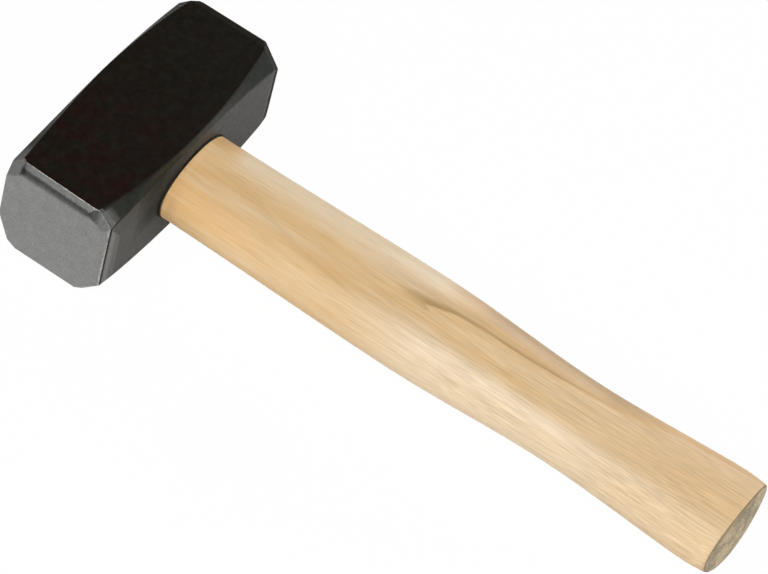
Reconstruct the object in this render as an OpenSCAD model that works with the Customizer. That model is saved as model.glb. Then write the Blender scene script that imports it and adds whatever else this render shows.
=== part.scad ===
// Club hammer, German pattern, 1.5 kg class: a forged steel head on an oval ash handle.
// The hammer lies on one cheek. +X runs along the handle from the head to the butt,
// +Y is the striking direction and +Z points out of the upper cheek. The origin is the
// middle of the lower cheek, straight under the middle of the eye.

/* [Head] */
// Length of the head, from striking face to striking face
head_len = 110; // [95:1:125]
// Width of the head along the handle
head_wid = 45; // [42:0.5:50]
// Height of the head, from cheek to cheek
head_hgt = 45; // [42:0.5:50]
// Leg of the curved corner chamfer at both ends of the head
corner_end = 6.8; // [5:0.1:8]
// Leg of the curved corner chamfer in the middle of the head, where it is narrowest
corner_mid = 1.8; // [1:0.1:3]
// How far the face bevel comes down from the cheek
bevel_drop = 3.2; // [2:0.1:4.5]
// How far the face bevel reaches back from the striking face
bevel_run = 3; // [2:0.1:4.5]
// How far the face bevel comes in at the corners of the striking face
bevel_corner = 1.9; // [1:0.1:2.5]
// Small ground edge along the two short sides of the striking face
edge_break = 0.5; // [0.2:0.1:1]

/* [Eye] */
// Length of the eye at its narrowest place, along the head
throat_len = 37.4; // [35:0.2:38.5]
// Width of the eye at its narrowest place
throat_wid = 24.4; // [22:0.2:25.4]
// Distance of the narrowest place from the side where the handle leaves
throat_depth = 20; // [15:1:26]
// Length of the eye's wedged mouth, on the side away from the handle
wedged_len = 39.6; // [38.6:0.2:41]
// Width of the eye's wedged mouth
wedged_wid = 27; // [26:0.2:28.5]
// Broken edge around both mouths of the eye
mouth_break = 0.6; // [0.3:0.1:1]

/* [Handle] */
// Length of the handle, from its wedged end to the crown of the butt
handle_len = 284; // [264:1:304]
// How far the wedged end stands out of the head
proud = 1; // [0.4:0.1:2]
// Long axis of the oval where the handle leaves the head
root_len = 40.6; // [39.4:0.2:42]
// Short axis of the oval where the handle leaves the head
root_wid = 27.3; // [26.5:0.1:28.5]
// Distance of the belly from the head
belly_at = 100; // [85:1:110]
// Long axis of the oval at the belly
belly_len = 43; // [41:0.2:46]
// Short axis of the oval at the belly
belly_wid = 29.4; // [28:0.2:32]
// Distance of the waist from the head
waist_at = 166.5; // [150:0.5:180]
// Long axis of the oval at the waist
waist_len = 37.6; // [34:0.2:40]
// Short axis of the oval at the waist
waist_wid = 26.1; // [24:0.2:28]
// Long axis of the oval at the butt
butt_len = 43.4; // [41:0.2:46]
// Short axis of the oval at the butt
butt_wid = 30.4; // [28:0.2:32]
// Length of the butt's end over which the long axis draws in again
draw_len = 14.5; // [10:0.5:20]
// How far the long axis draws in at each side, up to the rim of the butt
draw_in = 1.2; // [0.4:0.1:1.6]
// Radius of the crowned end of the butt
crown_r = 100; // [70:5:200]
// Rounding of the rim of the butt
butt_round = 0.8; // [0.4:0.1:1.5]

/* [Wedges] */
// Width of the saw cut in the handle's end
kerf_wid = 1.4; // [1:0.1:2]
// Depth of the saw cut
kerf_depth = 40; // [38:1:43]
// Thickness of the wooden wedge at its driven end
wood_wedge_thick = 5.6; // [4.5:0.1:6.5]
// Thickness of the wooden wedge at its tip
wood_wedge_tip = 1.6; // [1.4:0.1:2]
// Length of the wooden wedge in the saw cut
wood_wedge_depth = 34; // [32:1:36]
// Width of each steel wedge, across the saw cut
steel_wedge_wid = 18; // [14:0.5:19]
// Thickness of each steel wedge at its driven end
steel_wedge_thick = 4; // [3:0.1:5]
// Thickness of each steel wedge at its tip
steel_wedge_tip = 0.8; // [0.6:0.1:1.2]
// Length of each steel wedge in the wood
steel_wedge_depth = 25; // [20:0.5:28]
// Distance between the two steel wedges
steel_wedge_gap = 17; // [14:0.5:19]
// Number of barbs on each flank of a steel wedge
barbs = 5; // [3:1:7]
// Depth of the notch behind each barb
barb_depth = 0.35; // [0.2:0.05:0.45]

/* [Fit] */
// Clearance between wood and steel, and between a wedge and its slot
fit = 0.08; // [0.05:0.01:0.12]

/* [Hidden] */

// Sides of the oval sections, and rings along the free handle, its rim and its crown
SIDES = 48;
RINGS = 44;
RIM_RINGS = 3;
CROWN_RINGS = 4;
// How far a cutting shape runs past what it cuts
OVER = 2;
// Share of a barb's pitch that its notch takes, and where the first barb stands
NOTCH_SHARE = 0.9;
FIRST_BARB = 0.5;

// The two sides of the head that the eye goes through, and the ends of the handle
side_x = head_wid / 2;
axis_z = head_hgt / 2;
top_x = -side_x - proud;
butt_x = top_x + handle_len;
throat_x = side_x - throat_depth;

// The curved corner chamfers: half the diagonal of the section in the middle and at the
// ends, and the radius of the arc through them
diag_mid = (side_x + axis_z - corner_mid) / sqrt(2);
diag_end = (side_x + axis_z - corner_end) / sqrt(2);
sag = diag_mid - diag_end;
corner_radius = (pow(head_len / 2, 2) + sag * sag) / (2 * sag);

// Between two values along a straight line, and along a soft S curve
function mix(a, b, t) = a + (b - a) * t;
function ease(a, b, t) = a + (b - a) * (1 - cos(180 * t)) / 2;

// Points of an oval ring across the handle's axis
function ring(x, len, wid) = [
    for (i = [0 : SIDES - 1])
        let (a = 360 * i / SIDES)
        [x, len / 2 * cos(a), axis_z + wid / 2 * sin(a)]
];

// The free handle's oval at a distance d from the head: root, belly, waist, butt
function swell(d, root, belly, waist, butt) =
    d < belly_at ? ease(root, belly, d / belly_at) :
    d < waist_at ? ease(belly, waist, (d - belly_at) / (waist_at - belly_at)) :
    ease(waist, butt, (d - waist_at) / (butt_x - side_x - waist_at));

// How far the butt's end has drawn in at x
function drawn(x) = draw_in * (1 - cos(90 * max(0, x - butt_x + draw_len) / draw_len));
function free_len(x) = swell(x - side_x, root_len, belly_len, waist_len, butt_len) - 2 * drawn(x);
function free_wid(x) = swell(x - side_x, root_wid, belly_wid, waist_wid, butt_wid);

// Where the crowned end of the butt lies, off the handle's axis
function crown_x(y, z) = butt_x - crown_r + sqrt(crown_r * crown_r - y * y - z * z);

// A ring on the butt's end: the last oval, drawn in by its rounding and by a share towards
// the axis, laid on the crown and set back from it
function end_ring(share, inset, back) = [
    for (p = ring(0, free_len(butt_x) - 2 * inset, free_wid(butt_x) - 2 * inset))
        let (y = share * p[1], z = share * (p[2] - axis_z))
        [crown_x(y, z) - back, y, axis_z + z]
];

// Stations of the eye as [x, length, width]: both mouths flare from the throat. The mouth
// that the handle leaves is as large as the handle's root.
flare = 2 * (mouth_break + OVER);
eye_stations = [
    [-side_x - OVER, wedged_len + flare, wedged_wid + flare],
    [-side_x + mouth_break, wedged_len, wedged_wid],
    [throat_x, throat_len, throat_wid],
    [side_x - mouth_break, root_len + 2 * fit, root_wid + 2 * fit],
    [side_x + OVER, root_len + 2 * fit + flare, root_wid + 2 * fit + flare]
];

// Stations of the handle: the tenon follows the eye with its clearance, and the free handle
// follows its curve as far as the rounding of the butt's rim
tenon_stations = [
    [top_x, wedged_len - 2 * fit, wedged_wid - 2 * fit],
    [-side_x + mouth_break, wedged_len - 2 * fit, wedged_wid - 2 * fit],
    [throat_x, throat_len - 2 * fit, throat_wid - 2 * fit],
    [side_x - mouth_break, root_len, root_wid]
];
free_end = crown_x(butt_len / 2, 0) - butt_round;
free_stations = [
    for (i = [0 : RINGS])
        let (x = mix(side_x, free_end, i / RINGS))
        [x, free_len(x), free_wid(x)]
];

// Rings of the butt's end: round the rim, then over the crown towards the axis
end_rings = [
    for (i = [1 : RIM_RINGS])
        let (a = 90 * i / RIM_RINGS)
        end_ring(1, butt_round * (1 - cos(a)), butt_round * (1 - sin(a))),
    for (i = [1 : CROWN_RINGS - 1])
        end_ring(1 - i / CROWN_RINGS, butt_round, 0)
];

// Rings through a row of oval stations
function rings_of(stations) = [for (s = stations) ring(s[0], s[1], s[2])];

// Solid skin over a row of rings, closed at both ends around a point on the axis
module loft(rings, tip_x) {
    count = len(rings);
    points = concat(
        [for (r = rings) each r],
        [[rings[0][0][0], 0, axis_z], [tip_x, 0, axis_z]]
    );
    skin = [
        for (k = [0 : count - 2], i = [0 : SIDES - 1])
            let (
                j = (i + 1) % SIDES,
                a = k * SIDES + i,
                b = k * SIDES + j,
                c = (k + 1) * SIDES + j,
                d = (k + 1) * SIDES + i
            )
            each [[a, c, b], [a, d, c]]
    ];
    caps = [
        for (i = [0 : SIDES - 1])
            let (j = (i + 1) % SIDES, last = (count - 1) * SIDES)
            each [[i, j, count * SIDES], [last + j, last + i, count * SIDES + 1]]
    ];
    polyhedron(points, concat(skin, caps), convexity = 4);
}

// Outline with its four corners cut by the same two legs
module cut_rectangle(x, y, leg_x, leg_y) {
    polygon([
        for (q = [[1, 1], [-1, 1], [-1, -1], [1, -1]])
            each (
                q[0] * q[1] > 0
                ? [[q[0] * x, q[1] * (y - leg_y)], [q[0] * (x - leg_x), q[1] * y]]
                : [[q[0] * (x - leg_x), q[1] * y], [q[0] * x, q[1] * (y - leg_y)]]
            )
    ]);
}

// One pair of opposite corner chamfers, seen across the section's diagonal: two long arcs,
// and the straight bevel at the corners of the striking faces, which runs back until it is
// well outside the arcs
module diagonal_form() {
    reach = corner_radius - diag_mid;
    back = bevel_run + 3 * OVER;
    out = back * bevel_corner / bevel_run;
    rotate([90, 0, 0])
        translate([0, 0, -head_len])
            linear_extrude(2 * head_len)
                intersection() {
                    for (side = [-1, 1])
                        translate([side * reach, 0]) circle(r = corner_radius, $fn = 360);
                    cut_rectangle(diag_end - bevel_corner + out, head_len / 2, out, back);
                }
}

// The forged block: bevelled outline seen from the side, straight outline seen from above,
// and the two diagonal forms that round its long corners
module forged_block() {
    intersection() {
        translate([-side_x, 0, axis_z])
            rotate([90, 0, 90])
                linear_extrude(head_wid)
                    cut_rectangle(head_len / 2, head_hgt / 2, bevel_run, bevel_drop);
        linear_extrude(head_hgt)
            cut_rectangle(side_x, head_len / 2, edge_break, edge_break);
        for (turn = [45, -45])
            translate([0, 0, axis_z])
                rotate([0, turn, 0])
                    rotate([-90, 0, 0])
                        diagonal_form();
    }
}

module head() {
    color("#2f2e2b")
        difference() {
            forged_block();
            loft(rings_of(eye_stations), side_x + OVER);
        }
}

// Half the thickness of a wedge at a distance d from its driven end
function wedge_half(d, depth, thick, tip) = mix(thick, tip, d / depth) / 2;

// A plain wedge's outline, grown by a clearance, that starts a little before its driven end
module taper(depth, thick, tip, grow) {
    flank = [
        [-OVER, thick / 2 + grow],
        [0, thick / 2 + grow],
        [depth + grow, tip / 2 + grow]
    ];
    polygon(concat(flank, opposite(flank)));
}

// The other flank of a wedge, in the order that closes its outline
function opposite(flank) = [
    for (i = [len(flank) - 1 : -1 : 0]) [flank[i][0], -flank[i][1]]
];

// The wooden wedge's prism through the whole tenon, or its slot when grown by a clearance
module wood_wedge_form(grow) {
    length = wedged_len + 2 * OVER;
    translate([top_x, length / 2, axis_z])
        rotate([90, 0, 0])
            linear_extrude(length)
                taper(wood_wedge_depth, wood_wedge_thick, wood_wedge_tip, grow);
}

// The slots that the two steel wedges open in the wood
module steel_slots() {
    wide = steel_wedge_wid + 2 * fit;
    for (side = [-1, 1])
        translate([top_x, side * steel_wedge_gap / 2, axis_z - wide / 2])
            linear_extrude(wide)
                taper(steel_wedge_depth, steel_wedge_thick, steel_wedge_tip, fit);
}

module handle() {
    color("#dcb98a")
        difference() {
            loft(concat(rings_of(concat(tenon_stations, free_stations)), end_rings), butt_x);
            translate([top_x - OVER, -wedged_len / 2 - OVER, axis_z - kerf_wid / 2])
                cube([kerf_depth + OVER, wedged_len + 2 * OVER, kerf_wid]);
            wood_wedge_form(fit);
            steel_slots();
        }
}

module wood_wedge() {
    color("#b98a58")
        difference() {
            intersection() {
                wood_wedge_form(0);
                loft(rings_of(tenon_stations), side_x - mouth_break);
            }
            steel_slots();
        }
}

// A steel wedge with barbs on both flanks, at its place along the eye
module steel_wedge(y) {
    depth = steel_wedge_depth;
    pitch = depth / (barbs + 1);
    flank = [
        [0, steel_wedge_thick / 2],
        for (i = [0 : barbs - 1])
            let (
                d0 = pitch * (i + FIRST_BARB),
                d1 = d0 + pitch * NOTCH_SHARE,
                half0 = wedge_half(d0, depth, steel_wedge_thick, steel_wedge_tip),
                half1 = wedge_half(d1, depth, steel_wedge_thick, steel_wedge_tip)
            )
            each [[d0, half0], [d0, half0 - barb_depth], [d1, half1]],
        [depth, steel_wedge_tip / 2]
    ];
    color("#8d9094")
        translate([top_x, y, axis_z - steel_wedge_wid / 2])
            linear_extrude(steel_wedge_wid)
                polygon(concat(flank, opposite(flank)));
}

module steel_wedge_near() {
    steel_wedge(-steel_wedge_gap / 2);
}

module steel_wedge_far() {
    steel_wedge(steel_wedge_gap / 2);
}

head();
handle();
wood_wedge();
steel_wedge_near();
steel_wedge_far();
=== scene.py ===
import math

import bmesh
import bpy
from bpy.props import FloatProperty, FloatVectorProperty, IntProperty, PointerProperty
from mathutils import Matrix, Vector


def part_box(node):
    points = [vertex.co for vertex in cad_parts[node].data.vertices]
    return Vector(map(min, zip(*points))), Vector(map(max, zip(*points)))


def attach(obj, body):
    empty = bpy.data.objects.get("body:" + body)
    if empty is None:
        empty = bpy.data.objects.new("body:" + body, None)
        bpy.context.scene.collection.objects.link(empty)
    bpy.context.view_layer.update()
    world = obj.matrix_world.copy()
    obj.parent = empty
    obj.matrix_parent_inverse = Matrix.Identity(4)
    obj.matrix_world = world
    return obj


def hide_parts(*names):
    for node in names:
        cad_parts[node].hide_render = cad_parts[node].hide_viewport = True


bl_info = {
    "name": "Club Hammer",
    "version": (1, 0, 0),
    "blender": (4, 5, 0),
    "location": "3D View > Sidebar > Club Hammer",
    "description": "Dresses a club hammer: forged head, ash handle, wedges and a plain studio",
    "category": "Add Mesh",
}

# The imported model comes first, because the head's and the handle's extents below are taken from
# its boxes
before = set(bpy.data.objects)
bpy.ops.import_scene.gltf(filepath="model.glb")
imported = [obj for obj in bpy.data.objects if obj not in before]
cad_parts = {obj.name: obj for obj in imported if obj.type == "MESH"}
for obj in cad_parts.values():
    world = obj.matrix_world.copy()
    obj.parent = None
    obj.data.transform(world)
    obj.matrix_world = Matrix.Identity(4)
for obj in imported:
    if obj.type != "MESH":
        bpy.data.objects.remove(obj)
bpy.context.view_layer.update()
HEAD_LOW, HEAD_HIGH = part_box("head")
HANDLE_LOW, HANDLE_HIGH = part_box("handle")

MM = 0.001

# Half the width, length and height of the head, and its middle on the handle's axis
HALF_X = HEAD_HIGH.x
FACE_Y = HEAD_HIGH.y
AXIS_Z = (HEAD_LOW.z + HEAD_HIGH.z) / 2
HALF_Z = HEAD_HIGH.z - AXIS_Z
MIDDLE = Vector((0.0, 0.0, AXIS_Z))
# The wedged end and the crown of the butt
TOP_X = HANDLE_LOW.x
BUTT_X = HANDLE_HIGH.x

# The four long corners of the head, in order around its section, as the signs of X and Z, and
# the legs of each chamfer in millimetres: on the cheek, then on the side, each where the near
# bevel starts, at mid-length and where the far bevel starts. The last pair says how it widens
# towards the near and the far end: 2 is an arc, 1 a straight line. All were ground by hand.
CORNERS = {
    (1, 1): ((7.1, 1.2, 6.3), (4.2, 2.35, 7.8), (2.0, 2.0)),
    (-1, 1): ((4.3, 0.8, 5.7), (4.3, 1.8, 7.4), (1.3, 2.0)),
    (-1, -1): ((5.6, 1.2, 6.6), (9.4, 2.35, 8.3), (2.0, 2.0)),
    (1, -1): ((7.4, 1.2, 7.0), (8.7, 2.35, 8.3), (2.0, 2.0)),
}
# Flats ground across the ends of the head: how bare the steel of each is, from 0 (lacquered)
# to 1, and three points on it in millimetres from the middle of the head
FLATS = (
    # near end: bevels, sides, then corners
    (1.0, (15.5, -52.35, 22.5), (-17.5, -51.65, 22.5), (0.0, -55.0, 19.4)),
    (0.9, (15.0, -52.0, -22.5), (-15.0, -52.0, -22.5), (0.0, -55.0, -20.5)),
    (1.0, (20.0, -55.0, 10.0), (20.0, -55.0, -10.0), (22.3, -53.1, 0.0)),
    (0.0, (-22.5, -50.0, 5.0), (-22.5, -50.0, -5.0), (-22.0, -55.0, 0.0)),
    (0.42, (22.5, -46.2, 13.0), (22.5, -45.3, -14.0), (22.2, -55.0, 0.0)),
    (0.85, (12.6, -55.0, 19.4), (15.6, -52.0, 22.5), (22.3, -53.15, 17.86)),
    (0.75, (15.75, -50.4, 22.5), (22.5, -50.0, 18.42), (18.5, -53.6, 20.1)),
    (0.9, (-14.5, -55.0, 19.4), (-17.5, -51.3, 22.5), (-20.8, -55.0, 14.4)),
    (0.9, (22.5, -55.0, -11.4), (13.4, -55.0, -20.5), (19.3, -52.0, -18.2)),
    (0.9, (-21.5, -55.0, -8.2), (-16.5, -55.0, -18.8), (-19.9, -52.0, -17.6)),
    (0.9, (-17.0, -55.0, -18.2), (-14.4, -55.0, -19.6), (-17.2, -52.2, -21.6)),
    # far end, in the same order
    (0.0, (15.1, 52.6, 22.5), (-14.5, 52.2, 22.5), (0.0, 55.0, 19.6)),
    (0.9, (15.0, 52.0, -22.5), (-15.0, 52.0, -22.5), (0.0, 55.0, -19.5)),
    (0.0, (22.5, 48.5, 5.0), (22.5, 48.5, -5.0), (22.1, 52.0, 0.0)),
    (0.0, (22.5, 51.4, 5.0), (22.5, 51.4, -5.0), (21.1, 55.0, 0.0)),
    (0.0, (-22.5, 52.0, 5.0), (-22.5, 52.0, -5.0), (-21.7, 55.0, 0.0)),
    (0.0, (14.1, 55.0, 19.5), (20.9, 55.0, 10.7), (19.9, 49.4, 18.9)),
    (0.0, (-16.9, 50.2, 22.5), (-14.5, 52.15, 22.5), (-22.5, 52.4, 14.95)),
    (0.6, (22.5, 55.0, -10.8), (13.2, 55.0, -19.4), (18.9, 52.0, -18.2)),
    (0.6, (-22.5, 55.0, -10.8), (-13.2, 55.0, -19.4), (-18.9, 52.0, -18.2)),
)

# The curved chamfers stop this far before each face, clear of its flats, so that no cut leaves
# a sliver, and the bevels of a face start nearer to it
CHAMFER_STOP = 7.4 * MM
BEVEL_START = 3.0 * MM

# How far a cutting tool reaches past what it cuts, and the points around an oval one
OVERLAP = 2 * MM
OVAL_SIDES = 120

# Rows of a handle's end, the share of them that goes round its rim, and the share of the body
# after which its rings bend with the crown
CAP_ROWS = 29
RIM_SHARE = 0.25
BENT_FROM = 0.97

# The width in millimetres on which the camera's focal length is given, the point that the lamps
# look at, and the floor: how far it reaches, and that it lies a hair below the cheek, so that
# the two don't share a plane
SENSOR_WIDTH = 36.0
LAMP_AIM = Vector((0.09, 0.0, AXIS_Z))
FLOOR_REACH = 3.0
FLOOR_Z = -0.1 * MM
WHITE = (1.0, 1.0, 1.0, 1.0)

# Kinds of node that recur in the trees below. A Mix node has its share at input 0, its floats
# at 2 and 3, vectors at 4 and 5, colours at 6 and 7, and gives a mixed colour at output 2
MATH = "ShaderNodeMath"
RANGE = "ShaderNodeMapRange"
NOISE = "ShaderNodeTexNoise"
MIX = "ShaderNodeMix"
# The span in which nearly all values of a noise lie
NOISE_SPAN = {"From Min": 0.3, "From Max": 0.7}


def linear(hex_colour):
    """Turns an sRGB hex colour into Blender's linear red, green, blue and alpha."""
    channels = [int(hex_colour[i : i + 2], 16) / 255 for i in (1, 3, 5)]
    return [c / 12.92 if c <= 0.04045 else ((c + 0.055) / 1.055) ** 2.4 for c in channels] + [1.0]


def mix(a, b, share):
    """The value at a share of the way from a to b."""
    return a + (b - a) * share


def add(tree, kind, links=None, out=0, **settings):
    """Adds a node and returns one of its outputs. links maps its inputs to values or outputs."""
    node = tree.nodes.new(kind)
    for name, value in settings.items():
        setattr(node, name, value)
    for key, value in (links or {}).items():
        if isinstance(value, bpy.types.NodeSocket):
            tree.links.new(value, node.inputs[key])
        else:
            node.inputs[key].default_value = value
    return node.outputs[out] if node.outputs else None


def millimetres(name, description, default):
    """A length that a user may change, given in millimetres and kept in metres."""
    return FloatProperty(name=name, description=description, default=default * MM, unit="LENGTH")


def colour(name, description, default):
    """A finish colour that a user may change, given as sRGB hex."""
    return FloatVectorProperty(
        name=name, description=description, subtype="COLOR", size=4, default=linear(default)
    )


class HeadSizes(bpy.types.PropertyGroup):
    """Sizes of the forged head"""

    edge_round: millimetres("Edge Rounding", "Softening of every edge of the forging", 0.35)
    mouth_break: millimetres("Mouth Rounding", "Rounding of both mouths of the eye", 0.6)
    throat_len: millimetres("Throat Length", "Length of the eye where it is narrowest", 37.4)
    throat_wid: millimetres("Throat Width", "Width of the eye where it is narrowest", 24.4)
    throat_at: millimetres("Throat Place", "Where the eye is narrowest, along the handle", 2.5)
    wedged_len: millimetres("Wedged Length", "Length of the eye's wedged mouth", 39.6)
    wedged_wid: millimetres("Wedged Width", "Width of the eye's wedged mouth", 27.0)
    fit: millimetres("Fit", "Clearance between wood and steel", 0.08)
    stations: IntProperty(
        name="Stations", description="Sections along the curved chamfers", default=57, min=21
    )


class HandleSizes(bpy.types.PropertyGroup):
    """Sizes of the ash handle"""

    root_len: millimetres("Root Length", "Long axis of the oval at the head", 40.6)
    root_wid: millimetres("Root Width", "Short axis of the oval at the head", 27.3)
    belly_at: millimetres("Belly Place", "Distance of the belly from the head", 100.0)
    belly_len: millimetres("Belly Length", "Long axis of the oval at the belly", 43.0)
    belly_wid: millimetres("Belly Width", "Short axis of the oval at the belly", 29.4)
    waist_at: millimetres("Waist Place", "Distance of the waist from the head", 166.5)
    waist_len: millimetres("Waist Length", "Long axis of the oval at the waist", 37.6)
    waist_wid: millimetres("Waist Width", "Short axis of the oval at the waist", 26.1)
    butt_len: millimetres("Butt Length", "Long axis of the oval at the butt", 43.4)
    butt_wid: millimetres("Butt Width", "Short axis of the oval at the butt", 30.4)
    draw_len: millimetres("Draw Length", "Length over which the butt draws in again", 14.5)
    draw_in: millimetres("Draw In", "How far each side of the butt draws in", 1.2)
    crown_radius: millimetres("Crown Radius", "Radius of the crowned end of the butt", 100.0)
    rim_round: millimetres("Rim Rounding", "Rounding of the rim of the butt", 0.8)
    rings: IntProperty(name="Rings", description="Rings along the handle", default=240, min=60)
    sides: IntProperty(name="Sides", description="Points around the oval", default=120, min=24)


class WedgeSizes(bpy.types.PropertyGroup):
    """Sizes of the saw cut and of the wedges in it"""

    kerf_wid: millimetres("Kerf Width", "Width of the saw cut", 1.4)
    kerf_depth: millimetres("Kerf Depth", "Depth of the saw cut", 40.0)
    wood_thick: millimetres("Wood Thickness", "Wooden wedge at its driven end", 5.6)
    wood_tip: millimetres("Wood Tip", "Wooden wedge at its tip", 1.6)
    wood_depth: millimetres("Wood Depth", "Length of the wooden wedge", 34.0)
    steel_wid: millimetres("Steel Width", "Width of each steel wedge", 18.0)
    steel_thick: millimetres("Steel Thickness", "Steel wedge at its driven end", 4.0)
    steel_tip: millimetres("Steel Tip", "Steel wedge at its tip", 0.8)
    steel_depth: millimetres("Steel Depth", "Length of each steel wedge", 25.0)
    steel_gap: millimetres("Steel Gap", "Distance between the two steel wedges", 17.0)
    barb_depth: millimetres("Barb Depth", "Depth of the notch behind each barb", 0.35)
    barbs: IntProperty(name="Barbs", description="Barbs on each flank", default=5, min=3, max=7)
    edge_round: millimetres("Edge Rounding", "Wear of the steel wedges' edges", 0.12)


class FinishColours(bpy.types.PropertyGroup):
    """Colours of the finishes"""

    lacquer: colour("Lacquer", "Black lacquer of the forging", "#140e05")
    lacquer_red: colour("Lacquer, Reddish", "Where the forging scale shows through", "#1c0602")
    lacquer_green: colour("Lacquer, Greenish", "Thinner lacquer near the edges", "#191e18")
    # Partly dust, partly a painted reflection of the pale floor on the sides
    lacquer_side_dust_and_sheen: colour("Lacquer, Sides", "Dusty lacquer on the forged sides", "#363532")
    steel: colour("Ground Steel", "Ground striking faces and bevels", "#929391")
    steel_worn: colour("Worn Steel", "Bright edges of the striking faces", "#c4c2bc")
    ash: colour("Ash", "Plain ash wood", "#e7c493")
    # Also the colour of a painted highlight along the handle's near side
    ash_pale_and_highlight: colour("Ash, Pale", "Pale early wood and sapwood", "#ecd6b4")
    ash_warm: colour("Ash, Warm", "Warmer bands along the grain", "#dcad6c")
    ash_figure: colour("Ash, Figure", "Brown late wood of the flame figure", "#b08a50")
    ash_pore: colour("Ash, Pores", "Open pores of the early wood", "#c39b63")
    end_grain: colour("End Grain", "Sawn and sanded end grain", "#9b8a6c")
    rim: colour("Rim", "Burnished rim of the handle's ends", "#6b5233")
    wedge_wood: colour("Wedge Wood", "Beech of the wooden wedge", "#b98a58")
    wedge_steel: colour("Wedge Steel", "Hammered mild steel of the cross wedges", "#8d9094")
    floor: colour("Floor", "Plain pale floor", "#f4f4f4")


class StageSettings(bpy.types.PropertyGroup):
    """Camera and light"""

    azimuth: FloatProperty(
        name="Azimuth", description="Camera round the hammer, 0 looks along +Y",
        default=math.radians(21.61), subtype="ANGLE",
    )
    elevation: FloatProperty(
        name="Elevation", description="Camera above the horizon",
        default=math.radians(50.35), subtype="ANGLE",
    )
    roll: FloatProperty(
        name="Roll", description="Turn of the picture",
        default=math.radians(15.93), subtype="ANGLE",
    )
    distance: millimetres("Distance", "Camera from the middle of the head", 2033.03)
    aim_right: millimetres("Aim Right", "Middle of the head, right of the picture's middle", -87.82)
    aim_up: millimetres("Aim Up", "Middle of the head, above the picture's middle", 51.89)
    lens: FloatProperty(name="Lens", description="Focal length on 36 mm", default=264.41)
    key_power: FloatProperty(name="Key", description="Soft light from the left", default=12.0)
    fill_power: FloatProperty(name="Fill", description="Soft light from the right", default=12.5)
    back_power: FloatProperty(name="Back", description="Low soft light from behind", default=10.5)
    horizon: FloatProperty(name="Horizon", description="Room light at eye level", default=0.9)
    ceiling: FloatProperty(name="Ceiling", description="Room light overhead", default=0.01)


class ClubHammerSettings(bpy.types.PropertyGroup):
    """Everything that a user of the hammer may change"""

    head: PointerProperty(type=HeadSizes)
    handle: PointerProperty(type=HandleSizes)
    wedges: PointerProperty(type=WedgeSizes)
    colours: PointerProperty(type=FinishColours)
    stage: PointerProperty(type=StageSettings)


def new_piece(name, mesh, slot, *nodes):
    """Links a finished mesh as a piece on the root body that stands for its CAD nodes."""
    piece = bpy.data.objects.new(name, mesh)
    bpy.context.scene.collection.objects.link(piece)
    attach(piece, "root")
    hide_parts(*nodes)
    return piece


def face_outwards(mesh):
    """Turns a closed mesh's faces so that they point outwards."""
    work = bmesh.new()
    work.from_mesh(mesh)
    bmesh.ops.recalc_face_normals(work, faces=work.faces)
    if work.calc_volume(signed=True) < 0:
        bmesh.ops.reverse_faces(work, faces=work.faces)
    work.to_mesh(mesh)
    work.free()


def tube_mesh(name, rings):
    """Closed mesh over a row of rings, with each end drawn together in its middle."""
    count = len(rings[0])
    points = [point for ring in rings for point in ring]
    first, end = len(points), (len(rings) - 1) * count
    for ring in (rings[0], rings[-1]):
        points.append([sum(places) / count for places in zip(*ring)])
    faces = []
    for k in range(0, end, count):
        for i in range(count):
            j = (i + 1) % count
            faces.append((k + i, k + j, k + count + j, k + count + i))
    for i in range(count):
        j = (i + 1) % count
        faces.append((j, i, first))
        faces.append((end + i, end + j, first + 1))
    mesh = bpy.data.meshes.new(name)
    mesh.from_pydata(points, [], faces)
    mesh.validate()
    face_outwards(mesh)
    return mesh


def cut(mesh, steps):
    """Runs exact booleans on a mesh, one after another: steps are (operation, other mesh)."""
    scene = bpy.context.scene
    body = bpy.data.objects.new("cut_body", mesh)
    scene.collection.objects.link(body)
    tools = []
    for operation, other in steps:
        tool = bpy.data.objects.new("cut_tool", other)
        scene.collection.objects.link(tool)
        modifier = body.modifiers.new("cut", "BOOLEAN")
        modifier.operation = operation
        modifier.solver = "EXACT"
        modifier.object = tool
        tools.append(tool)
    bpy.context.view_layer.update()
    evaluated = body.evaluated_get(bpy.context.evaluated_depsgraph_get())
    result = bpy.data.meshes.new_from_object(evaluated)
    for item in tools + [body]:
        bpy.data.objects.remove(item)
    if not result.polygons:
        raise RuntimeError("a cut left nothing of " + mesh.name)
    return result


def oval(x, length, width):
    """Ring of an oval across the handle's axis."""
    turns = [2 * math.pi * i / OVAL_SIDES for i in range(OVAL_SIDES)]
    return [(x, length / 2 * math.cos(a), AXIS_Z + width / 2 * math.sin(a)) for a in turns]


def eye_mesh(head, handle):
    """The eye as a solid: it flares from its throat, and its two mouths are rounded."""
    arc = [math.radians(a) for a in (0, 22, 44, 65)]
    grip_mouth = (handle.root_len + 2 * head.fit, handle.root_wid + 2 * head.fit)
    mouths = ((-1, (head.wedged_len, head.wedged_wid)), (1, grip_mouth))
    rows = {}
    for side, (length, width) in mouths:
        rows[side] = []
        for a in arc:
            grown = 2 * head.mouth_break * (1 - math.cos(a))
            x = side * (HALF_X - head.mouth_break * (1 - math.sin(a)))
            rows[side].append((x, length + grown, width + grown))
        x, last_len, last_wid = rows[side][-1]
        spread = 2 * OVERLAP * math.tan(arc[-1])
        rows[side].append((x + side * OVERLAP, last_len + spread, last_wid + spread))
    throat = (head.throat_at, head.throat_len, head.throat_wid)
    return tube_mesh("eye", [oval(*station) for station in rows[-1][::-1] + [throat] + rows[1]])


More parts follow.
